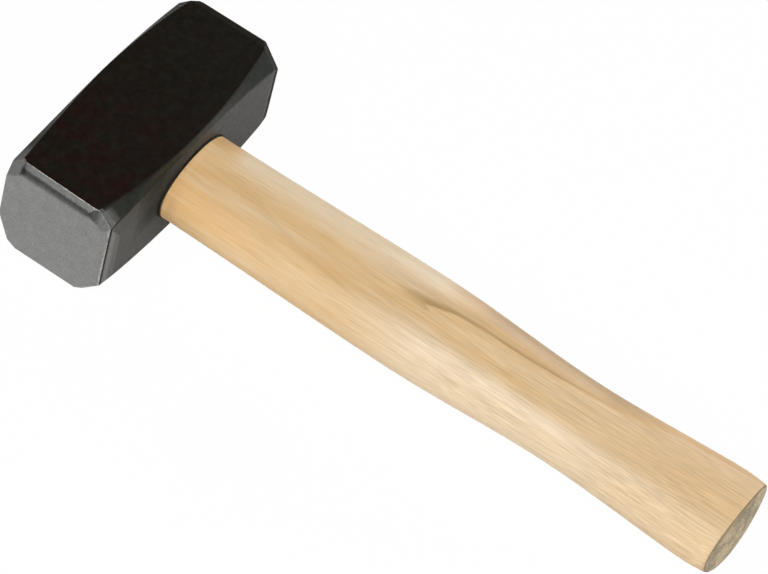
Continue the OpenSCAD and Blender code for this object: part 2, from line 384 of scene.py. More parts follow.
def forged_block(stations):
    """The block before its flats are ground: octagons along Y, whose chamfers widen in an arc
    towards both ends."""
    work = bmesh.new()
    reach, bevel_at = FACE_Y - CHAMFER_STOP, FACE_Y - BEVEL_START
    places = [mix(-reach, reach, k / (stations - 1)) for k in range(stations)]
    rings = []
    for y in [-FACE_Y] + places + [FACE_Y]:
        ring = []
        for (sx, sz), (*legs, curve) in CORNERS.items():
            share = abs(y / bevel_at) ** curve[y > 0]
            cheek, side = (
                mix(middle, far if y > 0 else near, share) * MM for near, middle, far in legs
            )
            on_side = (sx * HALF_X, y, AXIS_Z + sz * (HALF_Z - side))
            on_cheek = (sx * (HALF_X - cheek), y, AXIS_Z + sz * HALF_Z)
            ring += [on_side, on_cheek] if sx * sz > 0 else [on_cheek, on_side]
        rings.append([work.verts.new(point) for point in ring])
    for near, far in zip(rings, rings[1:]):
        for i in range(8):
            j = (i + 1) % 8
            work.faces.new((near[i], near[j], far[j], far[i]))
    work.faces.new(rings[0])
    work.faces.new(rings[-1])
    bmesh.ops.recalc_face_normals(work, faces=work.faces)
    return work


def grind(work, bare, layer, points):
    """Grinds a flat through three points and notes how bare its steel is."""
    a, b, c = (MIDDLE + Vector(p) * MM for p in points)
    normal = (b - a).cross(c - a).normalized()
    if normal.dot(a - MIDDLE) < 0:
        normal.negate()
    everything = work.verts[:] + work.edges[:] + work.faces[:]
    ground = bmesh.ops.bisect_plane(
        work, geom=everything, dist=1e-8, plane_co=a, plane_no=normal, clear_outer=True
    )
    rim = [item for item in ground["geom_cut"] if isinstance(item, bmesh.types.BMEdge)]
    flats = bmesh.ops.contextual_create(work, geom=rim)["faces"]
    if len(flats) != 1:
        raise RuntimeError("a ground flat misses the head")
    flats[0][layer] = bare


def head_mesh(head):
    """The forged and ground block with softened edges, before its eye is cut."""
    work = forged_block(head.stations)
    bare = work.faces.layers.float.new("bare")
    edge = work.faces.layers.float.new("edge")
    for face in work.faces:
        face[bare] = float(abs(face.normal.y) > 0.99)
    for share, *points in FLATS:
        grind(work, share, bare, points)
    bmesh.ops.recalc_face_normals(work, faces=work.faces)
    bmesh.ops.remove_doubles(work, verts=work.verts, dist=0.03 * MM)
    bmesh.ops.dissolve_limit(
        work, angle_limit=math.radians(0.05), verts=work.verts, edges=work.edges
    )
    # The steps between the sections of a chamfer are flatter than any real edge
    least = math.radians(8)
    corners = [e for e in work.edges if e.calc_face_angle() > least]
    rounded = bmesh.ops.bevel(
        work, geom=corners, offset=head.edge_round, offset_type="OFFSET", segments=3,
        profile=0.5, affect="EDGES", clamp_overlap=False,
    )
    for face in rounded["faces"]:
        face[edge] = 1.0
        # Only the near end, which is used most, is worn down to the steel along its edges
        if face.calc_center_median().y > 0:
            face[bare] = 0.0
    mesh = bpy.data.meshes.new("forged_block")
    work.to_mesh(mesh)
    work.free()
    return mesh


def soften(place, normal):
    """Turns a normal towards the side where the dies left a chamfer's lower edge soft."""
    # An oval round the eye keeps its own normals, and the softness fades out before the ends
    eye_y, eye_z, fade_from, fade_len = 21.5, 15.0, 40.0, 12.0
    y, z = place.y / MM, (place.z - AXIS_Z) / MM
    at_eye = (y / eye_y) ** 2 + (z / eye_z) ** 2 < 1
    if abs(place.x) < HALF_X - 0.4 * MM or at_eye or abs(normal.y) > 0.5:
        return normal
    share = min(1.0, max(0.0, (fade_from - abs(y)) / fade_len))
    return normal.lerp(Vector((math.copysign(1.0, place.x), 0.0, 0.0)), share).normalized()


def harden_normals(mesh, narrow=0.15 * MM, blend=math.radians(4)):
    """Lets every flat keep its own normal up to its rounded edges, as on a ground part."""
    work = bmesh.new()
    work.from_mesh(mesh)
    areas = [face.calc_area() for face in work.faces]
    flat = [area / face.calc_perimeter() > narrow for area, face in zip(areas, work.faces)]
    normals = []
    for face in work.faces:
        for loop in face.loops:
            around = [f for f in loop.vert.link_faces if areas[f.index] > 0]
            chosen = [f for f in around if flat[f.index]] or around
            if flat[face.index]:
                chosen = [f for f in chosen if f.normal.angle(face.normal, 0) < blend]
            total = sum((f.normal * areas[f.index] for f in chosen), Vector())
            normals.append(soften(loop.vert.co, total.normalized()))
    work.free()
    mesh.shade_smooth()
    mesh.normals_split_custom_set(normals)


class CLUBHAMMER_OT_head(bpy.types.Operator):
    """Forges the head, grinds its flats and cuts its eye"""

    bl_idname = "club_hammer.head"
    bl_label = "Head"

    def execute(self, context):
        settings = context.scene.club_hammer
        mesh = head_mesh(settings.head)
        mesh = cut(mesh, [("DIFFERENCE", eye_mesh(settings.head, settings.handle))])
        mesh.name = "forged_head"
        harden_normals(mesh)
        mesh.materials.clear()
        mesh.materials.append(forged_steel(settings.colours))
        new_piece("forged_head", mesh, "forged_steel", "head")
        return {"FINISHED"}


def drawn_in(tree, turn, depth):
    """What a rounding of some depth takes off an oval's size, at a turn of its quarter circle."""
    taken = add(tree, MATH, {0: turn}, operation="COSINE")
    taken = add(tree, MATH, {0: taken, 1: 2.0, 2: -2.0}, operation="MULTIPLY_ADD")
    return add(tree, MATH, {0: taken, 1: depth}, operation="MULTIPLY")


def oval_size(tree, given, x):
    """The oval's length and width at x, as the Y and Z of a vector: it passes from one given
    section to the next."""
    spans = (
        ("Eye Start", "Throat Place", "Throat Size", "LINEAR"),
        ("Throat Place", "Eye End", "Root Size", "LINEAR"),
        ("Head Side", "Belly Place", "Belly Size", "SMOOTHSTEP"),
        ("Belly Place", "Waist Place", "Waist Size", "SMOOTHSTEP"),
        ("Waist Place", "Butt", "Butt Size", "SMOOTHSTEP"),
    )
    size = given["Wedged Size"]
    for start, end, after, curve in spans:
        links = {"Value": x, "From Min": given[start], "From Max": given[end]}
        share = add(tree, RANGE, links, interpolation_type=curve)
        size = add(tree, MIX, {0: share, 4: size, 5: given[after]}, 1, data_type="VECTOR")
    # The butt draws in again over its last millimetres, on its two narrow sides
    start = add(tree, MATH, {0: given["Butt"], 1: given["Draw Length"]}, operation="SUBTRACT")
    links = {"Value": x, "From Min": start, "From Max": given["Butt"], "To Max": math.pi / 2}
    drawn = drawn_in(tree, add(tree, RANGE, links), given["Draw In"])
    drawn = add(tree, "ShaderNodeCombineXYZ", {"Y": drawn})
    return add(tree, "ShaderNodeVectorMath", {0: size, 1: drawn}, operation="ADD")


def ring_point(tree, size, cosine, sine):
    """The Y and Z of a point on an oval of the given size, at a turn round the axis."""
    axes = add(tree, "ShaderNodeSeparateXYZ", {0: size}).node.outputs
    length = add(tree, MATH, {0: axes["Y"], 1: 0.5}, operation="MULTIPLY")
    width = add(tree, MATH, {0: axes["Z"], 1: 0.5}, operation="MULTIPLY")
    y = add(tree, MATH, {0: length, 1: cosine}, operation="MULTIPLY")
    return y, add(tree, MATH, {0: width, 1: sine}, operation="MULTIPLY")


def crown(tree, given, y, z):
    """How far the crowned end falls back from its tip at a point off the axis."""
    radius = given["Crown Radius"]
    left = add(tree, MATH, {0: radius, 1: 2.0}, operation="POWER")
    for off in (y, z):
        square = add(tree, MATH, {0: off, 1: 2.0}, operation="POWER")
        left = add(tree, MATH, {0: left, 1: square}, operation="SUBTRACT")
    height = add(tree, MATH, {0: left}, operation="SQRT")
    return add(tree, MATH, {0: radius, 1: height}, operation="SUBTRACT")


def handle_side(tree, given, along, cosine, sine):
    """The body from the wedged end to the rim, whose last rings bend with the crown."""
    start = add(tree, MATH, {0: given["Top"], 1: given["Rim Rounding"]}, operation="ADD")
    end = add(tree, MATH, {0: given["Butt"], 1: given["Rim Rounding"]}, operation="SUBTRACT")
    x = add(tree, RANGE, {"Value": along, "To Min": start, "To Max": end})
    y, z = ring_point(tree, oval_size(tree, given, x), cosine, sine)
    bent = add(tree, RANGE, {"Value": along, "From Min": BENT_FROM})
    fall = add(tree, MATH, {0: bent, 1: crown(tree, given, y, z)}, operation="MULTIPLY")
    return add(tree, MATH, {0: x, 1: fall}, operation="SUBTRACT"), y, z


def handle_end(tree, given, along, cosine, sine, is_butt):
    """One end of the handle: round its rim, then over its face to the axis."""
    x_end = given["Butt"] if is_butt else given["Top"]
    links = {"Value": along, "From Max": RIM_SHARE, "To Max": math.pi / 2}
    turn = add(tree, RANGE, links)
    inset = drawn_in(tree, turn, given["Rim Rounding"])
    inset = add(tree, "ShaderNodeCombineXYZ", {"Y": inset, "Z": inset})
    size = oval_size(tree, given, x_end)
    size = add(tree, "ShaderNodeVectorMath", {0: size, 1: inset}, operation="ADD")
    links = {"Value": along, "From Min": RIM_SHARE, "To Min": 1.0, "To Max": 0.0}
    share = add(tree, RANGE, links)
    size = add(tree, "ShaderNodeVectorMath", {0: size, "Scale": share}, operation="SCALE")
    y, z = ring_point(tree, size, cosine, sine)
    fall = add(tree, MATH, {0: turn}, operation="SINE")
    fall = add(tree, MATH, {0: 1.0, 1: fall}, operation="SUBTRACT")
    fall = add(tree, MATH, {0: fall, 1: given["Rim Rounding"]}, operation="MULTIPLY")
    if is_butt:
        fall = add(tree, MATH, {0: fall, 1: crown(tree, given, y, z)}, operation="ADD")
        return add(tree, MATH, {0: x_end, 1: fall}, operation="SUBTRACT"), y, z
    return add(tree, MATH, {0: x_end, 1: fall}, operation="ADD"), y, z


def handle_tree(values, material):
    """Geometry Nodes tree of the handle, with an input for each named value: one grid wrapped
    round the swelling body, one over the wedged end and one over the crowned butt, joined into
    a closed solid."""
    tree = bpy.data.node_groups.new("ash_handle", "GeometryNodeTree")
    tree.interface.new_socket("Geometry", in_out="OUTPUT", socket_type="NodeSocketGeometry")
    kinds = {float: "NodeSocketFloat", tuple: "NodeSocketVector", int: "NodeSocketInt"}
    for name, value in values.items():
        kind = kinds[type(value)]
        socket = tree.interface.new_socket(name, in_out="INPUT", socket_type=kind)
        if kind == "NodeSocketFloat":
            socket.subtype = "DISTANCE"
    given = add(tree, "NodeGroupInput").node.outputs

    around = add(tree, MATH, {0: given["Sides"], 1: 1.0}, operation="ADD")
    at = add(tree, "ShaderNodeSeparateXYZ", {0: add(tree, "GeometryNodeInputPosition")}).node
    along = add(tree, MATH, {0: at.outputs["X"], 1: 0.5}, operation="ADD")
    turn = add(tree, MATH, {0: at.outputs["Y"], 1: 2 * math.pi}, operation="MULTIPLY")
    cosine = add(tree, MATH, {0: turn}, operation="COSINE")
    sine = add(tree, MATH, {0: turn}, operation="SINE")
    # How far a point lies on the end grain: 0 on the side, 1 on the ends, in between on the rim
    over_rim = add(tree, RANGE, {"Value": along, "From Max": RIM_SHARE})
    skins = (
        (given["Rings"], 0.0, handle_side(tree, given, along, cosine, sine)),
        (CAP_ROWS, over_rim, handle_end(tree, given, along, cosine, sine, False)),
        (CAP_ROWS, over_rim, handle_end(tree, given, along, cosine, sine, True)),
    )
    joined = add(tree, "GeometryNodeJoinGeometry")
    for rows, end_grain, (x, y, z) in skins:
        links = {"Size X": 1.0, "Size Y": 1.0, "Vertices X": rows, "Vertices Y": around}
        grid = add(tree, "GeometryNodeMeshGrid", links)
        z = add(tree, MATH, {0: z, 1: given["Axis Height"]}, operation="ADD")
        place = add(tree, "ShaderNodeCombineXYZ", {"X": x, "Y": y, "Z": z})
        links = {"Geometry": grid, "Name": "end_grain", "Value": end_grain}
        grid = add(tree, "GeometryNodeStoreNamedAttribute", links, data_type="FLOAT")
        skin = add(tree, "GeometryNodeSetPosition", {"Geometry": grid, "Position": place})
        tree.links.new(skin, joined.node.inputs[0])
    closed = add(tree, "GeometryNodeMergeByDistance", {"Geometry": joined, "Distance": 0.01 * MM})
    smooth = add(tree, "GeometryNodeSetShadeSmooth", {"Geometry": closed})
    real = add(tree, "GeometryNodeRealizeInstances", {0: smooth})
    finished = add(tree, "GeometryNodeSetMaterial", {"Geometry": real, "Material": material})
    add(tree, "NodeGroupOutput", {0: finished})
    return tree


def handle_body(settings):
    """Runs the handle's tree once and returns its result as a plain closed mesh."""
    head, handle = settings.head, settings.handle
    gap = 2 * head.fit
    values = {
        "Top": TOP_X,
        "Eye Start": head.mouth_break - HALF_X,
        "Throat Place": head.throat_at,
        "Eye End": HALF_X - head.mouth_break,
        "Head Side": HALF_X,
        "Belly Place": HALF_X + handle.belly_at,
        "Waist Place": HALF_X + handle.waist_at,
        "Butt": BUTT_X,
        "Draw Length": handle.draw_len,
        "Draw In": handle.draw_in,
        "Crown Radius": handle.crown_radius,
        "Rim Rounding": handle.rim_round,
        "Axis Height": AXIS_Z,
        "Wedged Size": (0.0, head.wedged_len - gap, head.wedged_wid - gap),
        "Throat Size": (0.0, head.throat_len - gap, head.throat_wid - gap),
        "Root Size": (0.0, handle.root_len, handle.root_wid),
        "Belly Size": (0.0, handle.belly_len, handle.belly_wid),
        "Waist Size": (0.0, handle.waist_len, handle.waist_wid),
        "Butt Size": (0.0, handle.butt_len, handle.butt_wid),
        "Rings": handle.rings,
        "Sides": handle.sides,
    }
    carrier = bpy.data.objects.new("handle_carrier", bpy.data.meshes.new("handle_carrier"))
    bpy.context.scene.collection.objects.link(carrier)
    modifier = carrier.modifiers.new("handle", "NODES")
    modifier.node_group = handle_tree(values, ash_wood(settings.colours))
    for item in modifier.node_group.interface.items_tree:
        if item.in_out == "INPUT":
            modifier[item.identifier] = values[item.name]
    bpy.context.view_layer.update()
    evaluated = carrier.evaluated_get(bpy.context.evaluated_depsgraph_get())
    mesh = bpy.data.meshes.new_from_object(evaluated)
    carrier.modifiers.clear()
    bpy.data.objects.remove(carrier)
    face_outwards(mesh)
    return mesh


def prism(name, outline, low, high, axis):
    """A flat outline of (x, across) drawn out from low to high along Y or Z."""
    if axis == "Y":
        rings = [[(x, level, AXIS_Z + across) for x, across in outline] for level in (low, high)]
    else:
        rings = [[(x, across, AXIS_Z + level) for x, across in outline] for level in (low, high)]
    return tube_mesh(name, rings)


def wedge_flanks(depth, painted_side_shade, tip, over=0.0, grow=0.0):
    """Outline of a plain wedge driven in from the top, that starts over before its end."""
    half, point = painted_side_shade / 2 + grow, tip / 2 + grow
    flank = [(TOP_X - over, half), (TOP_X, half), (TOP_X + depth + grow, point)]
    if not over:
        flank = flank[1:]
    return flank + [(x, -y) for x, y in reversed(flank)]


def across_tenon(name, outline, head):
    """A flat outline of (x, z) drawn out along Y, past both sides of the tenon."""
    reach = head.wedged_len / 2 + OVERLAP
    return prism(name, outline, -reach, reach, "Y")


def wood_wedge_prism(sizes, head, over=0.0, grow=0.0):
    """The wooden wedge or its slot, before its two ends are cut to the tenon."""
    outline = wedge_flanks(sizes.wood_depth, sizes.wood_thick, sizes.wood_tip, over, grow)
    return across_tenon("wood_wedge", outline, head)


def steel_slot(sizes, head, place):
    """The slot of one steel wedge, a little larger than the wedge."""
    outline = wedge_flanks(
        sizes.steel_depth, sizes.steel_thick, sizes.steel_tip, OVERLAP, head.fit
    )
    outline = [(x, place + y) for x, y in outline]
    half = sizes.steel_wid / 2 + head.fit
    return prism("steel_slot", outline, -half, half, "Z")


def steel_places(sizes):
    """Where the near and the far steel wedge stand, along Y."""
    return (-sizes.steel_gap / 2, sizes.steel_gap / 2)


def barbed_outline(sizes):
    """Outline of a steel wedge from its driven end, with a notch behind each barb."""
    pitch = sizes.steel_depth / (sizes.barbs + 1)
    flank = [(0.0, sizes.steel_thick / 2)]
    for i in range(sizes.barbs):
        start, end = pitch * (i + 0.5), pitch * (i + 1.4)
        wide, narrow = (
            mix(sizes.steel_thick, sizes.steel_tip, at / sizes.steel_depth) / 2
            for at in (start, end)
        )
        flank += [(start, wide), (start, wide - sizes.barb_depth), (end, narrow)]
    flank.append((sizes.steel_depth, sizes.steel_tip / 2))
    return flank + [(x, -y) for x, y in reversed(flank)]


class CLUBHAMMER_OT_handle(bpy.types.Operator):
    """Shapes the ash handle and opens its saw cut and the slots of its wedges"""

    bl_idname = "club_hammer.handle"
    bl_label = "Handle"

    def execute(self, context):
        settings = context.scene.club_hammer
        sizes, head = settings.wedges, settings.head
        half = sizes.kerf_wid / 2
        start, end = TOP_X - OVERLAP, TOP_X + sizes.kerf_depth
        kerf = [(start, half), (end, half), (end, -half), (start, -half)]
        tools = [
            across_tenon("kerf", kerf, head),
            wood_wedge_prism(sizes, head, OVERLAP, head.fit),
        ]
        tools += [steel_slot(sizes, head, place) for place in steel_places(sizes)]
        mesh = cut(handle_body(settings), [("DIFFERENCE", tool) for tool in tools])
        mesh.name = "ash_handle"
        mesh.shade_smooth()
        mesh.set_sharp_from_angle(angle=math.radians(40))
        new_piece("ash_handle", mesh, "ash", "handle")
        return {"FINISHED"}


class CLUBHAMMER_OT_wood_wedge(bpy.types.Operator):
    """Drives the wooden wedge into the saw cut"""

    bl_idname = "club_hammer.wood_wedge"
    bl_label = "Wooden Wedge"

    def execute(self, context):
        settings = context.scene.club_hammer
        sizes, head, handle = settings.wedges, settings.head, settings.handle
        stations = (
            (TOP_X - OVERLAP, head.wedged_len, head.wedged_wid),
            (head.mouth_break - HALF_X, head.wedged_len, head.wedged_wid),
            (head.throat_at, head.throat_len, head.throat_wid),
            (HALF_X - head.mouth_break, handle.root_len, handle.root_wid),
        )
        gap = 2 * head.fit
        tenon = tube_mesh("tenon", [oval(x, a - gap, b - gap) for x, a, b in stations])
        steps = [("INTERSECT", tenon)]
        steps += [("DIFFERENCE", steel_slot(sizes, head, place)) for place in steel_places(sizes)]
        mesh = cut(wood_wedge_prism(sizes, head), steps)
        mesh.name = "wooden_wedge"
        mesh.materials.clear()
        mesh.materials.append(beech_wood(settings.colours))
        mesh.set_sharp_from_angle(angle=math.radians(30))
        new_piece("wooden_wedge", mesh, "wedge_wood", "wood_wedge")
        return {"FINISHED"}


class CLUBHAMMER_OT_steel_wedges(bpy.types.Operator):
    """Drives the two barbed steel wedges across the wooden one"""

    bl_idname = "club_hammer.steel_wedges"
    bl_label = "Steel Wedges"

    def execute(self, context):
        settings = context.scene.club_hammer
        sizes = settings.wedges
        material = hammered_steel(settings.colours)
        half = sizes.steel_wid / 2
        for name, place in zip(("near", "far"), steel_places(sizes)):
            outline = [(TOP_X + x, place + y) for x, y in barbed_outline(sizes)]
            mesh = prism("barbed_wedge_" + name, outline, -half, half, "Z")
            mesh.materials.append(material)
            piece = new_piece("barbed_wedge_" + name, mesh, "wedge_steel", "steel_wedge_" + name)
            bevel = piece.modifiers.new("worn_edges", "BEVEL")
            bevel.width = sizes.edge_round
            bevel.segments = 2
            bevel.limit_method = "ANGLE"
        return {"FINISHED"}


def object_space(tree, scale=(1000.0,) * 3, turn=(0.0, 0.0, 0.0), shift=(0.0, 0.0, 0.0)):
    """Object coordinates, by default in millimetres. A Mapping node scales, then turns them."""
    place = add(tree, "ShaderNodeTexCoord", out="Object")
    links = {"Vector": place, "Scale": scale, "Rotation": turn, "Location": shift}
    return add(tree, "ShaderNodeMapping", links)


def spot_and_axes(tree):
    """Object coordinates in millimetres, as a vector and as a table by axis."""
    spot = object_space(tree)
    outputs = add(tree, "ShaderNodeSeparateXYZ", {0: spot}).node.outputs
    return spot, {axis: outputs[axis] for axis in "XYZ"}


def window(tree, axes, *limits, within=1.0):
    """The part of a mask that lies inside limits, each an axis, where it is 0 and where it is
    1 along that axis."""
    for axis, start, end in limits:
        ramp = add(tree, RANGE, {"Value": axes[axis], "From Min": start, "From Max": end})
        within = add(tree, MATH, {0: within, 1: ramp}, operation="MULTIPLY")
    return within


def raised(tree, axes, mask, strength, *zones):
    """A mask raised to a strength in each zone, which is the limits of a window."""
    for limits in zones:
        zone = window(tree, axes, *limits, within=strength)
        mask = add(tree, MATH, {0: mask, 1: zone}, operation="MAXIMUM")
    return mask


def mottled(tree, spot, tone, *layers):
    """A tone made uneven by layers of noise, each its scale, detail and roughness, two of its
    values and the tones that they stand for."""
    for scale, detail, rough, low, high, dark, light in layers:
        links = {"Vector": spot, "Scale": scale, "Detail": detail, "Roughness": rough}
        links = {"Value": add(tree, NOISE, links), "From Min": low, "From Max": high}
        links.update({"To Min": dark, "To Max": light})
        tone = add(tree, MATH, {0: tone, 1: add(tree, RANGE, links)}, operation="MULTIPLY")
    return tone


def empty_tree(owner):
    """Switches the nodes of a material or world on and returns its tree without them."""
    owner.use_nodes = True
    owner.node_tree.nodes.clear()
    return owner.node_tree


def wire_shader(tree, height, strength, depth, links):
    """Ends a material's tree with its shader and a bump of a depth in millimetres."""
    bump = {"Height": height, "Strength": strength, "Distance": depth * MM}
    links["Normal"] = add(tree, "ShaderNodeBump", bump)
    shader = add(tree, "ShaderNodeBsdfPrincipled", links)
    add(tree, "ShaderNodeOutputMaterial", {"Surface": shader})


def lacquer_colour(tree, colours, spot, axes):
    """Black lacquer: reddish where scale shows through, greenish where it is thin."""
    # Scale shows through in patches of 8 mm on the upper cheek, more towards its near end
    patches = add(tree, NOISE, {"Vector": spot, "Scale": 0.12, "Detail": 6.0, "Roughness": 0.6})
    red = add(tree, RANGE, {"Value": patches, "From Min": 0.42, "From Max": 0.58})
    red = window(tree, axes, ("Y", 15.0, -30.0), ("Z", 44.0, 45.0), within=red)
    # The lacquer is thin in patches of 5 mm on that cheek and all over the other sides
    place = object_space(tree, shift=(31.0, 17.0, 5.0))
    patches = add(tree, NOISE, {"Vector": place, "Scale": 0.22, "Detail": 6.0, "Roughness": 0.7})
    green = add(tree, RANGE, {"Value": patches, "From Min": 0.46, "From Max": 0.7, "To Max": 0.6})
    green = raised(tree, axes, green, 1.0, (("Z", 45.0, 44.0),))
    # A lighter grey on the sides, and at half strength on the near right corner: partly dust,
    # partly a painted reflection of the pale floor. It is left out as painted shade, where the
    # floor's reflection lies in the handle's shadow: on the near side of the eye, and under the
    # near half of the chamfers
    eye = object_space(tree, (0.0, 48.0, 71.0), shift=(0.0, 0.0, -0.071 * AXIS_Z / MM))
    axes["eye"] = add(tree, "ShaderNodeVectorMath", {0: eye}, 1, operation="LENGTH")
    painted_side_shade = raised(
        tree, axes, 0.0, 1.0,
        (("eye", 1.8, 1.1), ("Y", -6.0, -16.0)),
        (("Z", 27.0, 38.0), ("Y", -12.0, -22.0), ("Y", -50.0, -44.0)),
    )
    dust_and_sheen = add(tree, MATH, {0: axes["side"], 1: painted_side_shade}, operation="SUBTRACT", use_clamp=True)
    corner = (("Y", -33.0, -48.0), ("Z", 45.0, 44.5), ("X", 0.0, 10.0))
    dust_and_sheen = raised(tree, axes, dust_and_sheen, 0.5, corner)
    lacquer = colours.lacquer
    for share, tint in (
        (red, colours.lacquer_red), (green, colours.lacquer_green), (dust_and_sheen, colours.lacquer_side_dust_and_sheen),
    ):
        lacquer = add(tree, MIX, {0: share, 6: lacquer, 7: tint}, 2, data_type="RGBA")
    # Its tone clouds over every 2 mm
    clouds = mottled(tree, spot, 1.0, (0.45, 6.0, 0.7, 0.3, 0.7, 0.5, 1.5))
    links = {0: lacquer, "Scale": clouds}
    lacquer = add(tree, "ShaderNodeVectorMath", links, operation="SCALE")
    # Dust and dents in the lacquer are about 0.3 mm, drawn at 0.6 mm to show
    dust = add(tree, NOISE, {"Vector": spot, "Scale": 1.6, "Detail": 3.0, "Roughness": 0.6})
    specks = add(tree, RANGE, {"Value": dust, "From Min": 0.7, "From Max": 0.78, "To Max": 0.1})
    return add(tree, MIX, {0: specks, 6: lacquer, 7: colours.steel}, 2, data_type="RGBA")


def steel_colour(tree, colours, spot, axes, edge, hatch, seam):
    """Ground steel: mottled, hatched by a coarse wheel, bright along its worn edges."""
    # Mottling of 5 mm and of 0.8 mm
    tone = mottled(
        tree, spot, 1.0,
        (0.2, 4.0, 0.5, 0.25, 0.75, 0.9, 1.1),
        (1.2, 4.0, 0.5, 0.25, 0.75, 0.83, 1.17),
    )
    links = {"Value": hatch, "From Min": 0.35, "From Max": 0.65, "To Min": 0.93, "To Max": 1.07}
    tone = add(tree, MATH, {0: tone, 1: add(tree, RANGE, links)}, operation="MULTIPLY")

    # Lacquer left in the lower half of the near bevel, with a ragged border
    ragged = add(tree, NOISE, {"Vector": spot, "Scale": 0.9, "Detail": 4.0, "Roughness": 0.7})
    links = {0: ragged, 1: 0.8, 2: axes["Z"]}
    axes["ragged Z"] = add(tree, MATH, links, operation="MULTIPLY_ADD")
    strip = window(
        tree, axes, ("ragged Z", 43.85, 43.35), ("ragged Z", 40.6, 42.7), ("Y", -51.2, -51.8),
        ("X", 14.6, 12.0), ("X", -17.6, -16.8),
    )
    # Painted shade: the bevel lies in the full light of the key, so its steel is painted darker
    painted_bevel_shade = window(
        tree, axes, ("Z", 39.0, 40.5), ("Y", -54.95, -54.5), ("X", -17.5, -16.5), ("X", 17.5, 15.5)
    )
    for mask, left in ((strip, 0.33), (seam, 0.08), (painted_bevel_shade, 0.46)):
        kept = add(tree, RANGE, {"Value": mask, "To Min": 1.0, "To Max": left})
        tone = add(tree, MATH, {0: tone, 1: kept}, operation="MULTIPLY")
    links = {0: colours.steel[:3], "Scale": tone}
    steel = add(tree, "ShaderNodeVectorMath", links, operation="SCALE")

    # Worn bright: the upper edge of the near bevel, and specks along the right bevel's outer edge
    broken = add(tree, RANGE, {"Value": ragged, "From Min": 0.35, "From Max": 0.6, "To Max": 0.5})
    upper = add(tree, MATH, {0: edge, 1: broken}, operation="MULTIPLY")
    specks = add(tree, RANGE, {"Value": ragged, "From Min": 0.42, "From Max": 0.56})
    worn = 0.0
    for mask, limits in (
        (upper, (("Z", 44.4, 44.7), ("Y", -50.5, -51.0), ("X", 16.5, 15.5))),
        (specks, (("X", 21.3, 21.6), ("X", 22.05, 21.95), ("Y", -52.8, -53.1), ("Z", 41.0, 40.0))),
    ):
        worn = raised(tree, axes, worn, mask, limits)
    return add(tree, MIX, {0: worn, 6: steel, 7: colours.steel_worn}, 2, data_type="RGBA")


